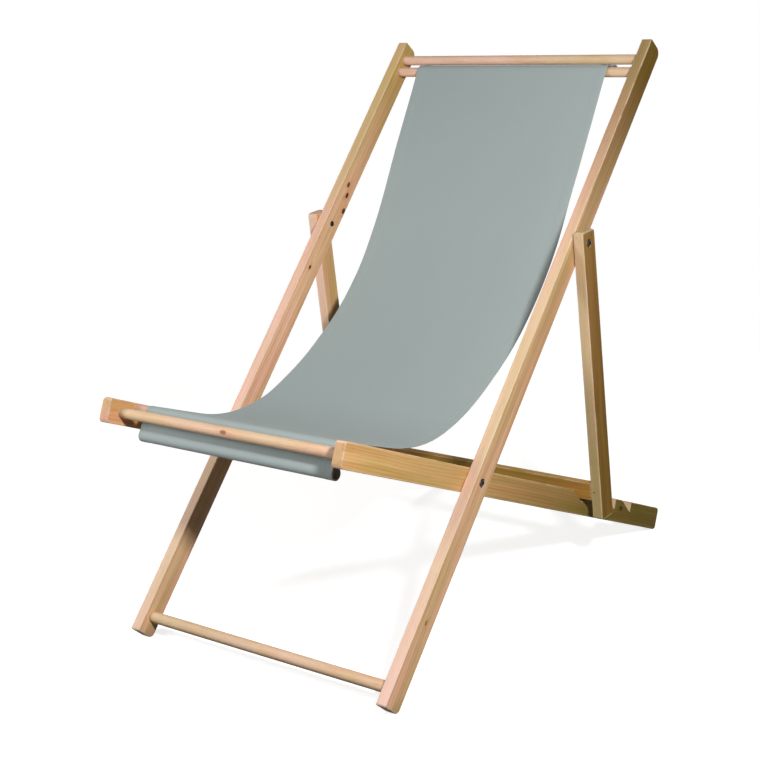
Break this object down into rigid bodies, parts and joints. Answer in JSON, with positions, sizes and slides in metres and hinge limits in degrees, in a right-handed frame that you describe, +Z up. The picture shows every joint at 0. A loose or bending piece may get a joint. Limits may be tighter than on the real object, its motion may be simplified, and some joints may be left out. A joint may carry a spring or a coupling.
{
  "type": "deck chair",
  "caption": "Folding wooden deck chair with a slung canvas seat and back, and a prop frame that rests in notches to set the recline.",
  "frame": {"origin": "on the floor, in the middle of the chair's overall width and depth", "axes": "+X across the chair to the right as seen from in front of it, +Y from the front to the rear, +Z up"},
  "size_m": [0.6154, 0.9214, 0.9292],
  "materials": {
    "wood": "planed light hardwood, thinly oiled, eased edges",
    "steel": "dark blackened steel, slightly worn",
    "canvas": "plain woven cotton canvas, matt"
  },
  "bodies": {
    "main_frame": {"foot_rung": "wood", "head_rung_lower": "wood", "head_rung_upper": "wood", "head_sling_dowel": "wood", "main_rail_left": "wood", "main_rail_right": "wood", "main_rung_pins": "steel", "prop_pivot_bolt_left": "steel", "prop_pivot_bolt_right": "steel", "prop_pivot_nut_left": "steel", "prop_pivot_nut_right": "steel", "prop_pivot_spacer_left": "steel", "prop_pivot_spacer_right": "steel", "seat_pivot_bolt_left": "steel", "seat_pivot_bolt_right": "steel", "seat_pivot_nut_left": "steel", "seat_pivot_nut_right": "steel", "seat_pivot_spacer_left": "steel", "seat_pivot_spacer_right": "steel", "sling": "canvas"},
    "seat_frame": {"front_sling_dowel": "wood", "seat_rail_left": "wood", "seat_rail_right": "wood", "seat_rung_front": "wood", "seat_rung_pins": "steel", "seat_rung_rear": "wood"},
    "prop_frame": {"crossbar_pins": "steel", "prop_crossbar": "wood", "prop_leg_left": "wood", "prop_leg_right": "wood"}
  },
  "joints": [
    {"name": "seat_fold", "type": "hinge", "parent": "main_frame", "child": "seat_frame", "pos_m": [0, -0.14974, 0.29109], "axis": [-1, 0, 0], "range_deg": [0, 103.8], "deforming": ["sling"]},
    {"name": "prop_fold", "type": "hinge", "parent": "main_frame", "child": "prop_frame", "pos_m": [0, 0.1668, 0.62002], "axis": [-1, 0, 0], "range_deg": [0, 41]}
  ],
  "couplings": [
    {"joint": "prop_fold", "follows": "seat_fold", "ratio": 0.3945}
  ]
}
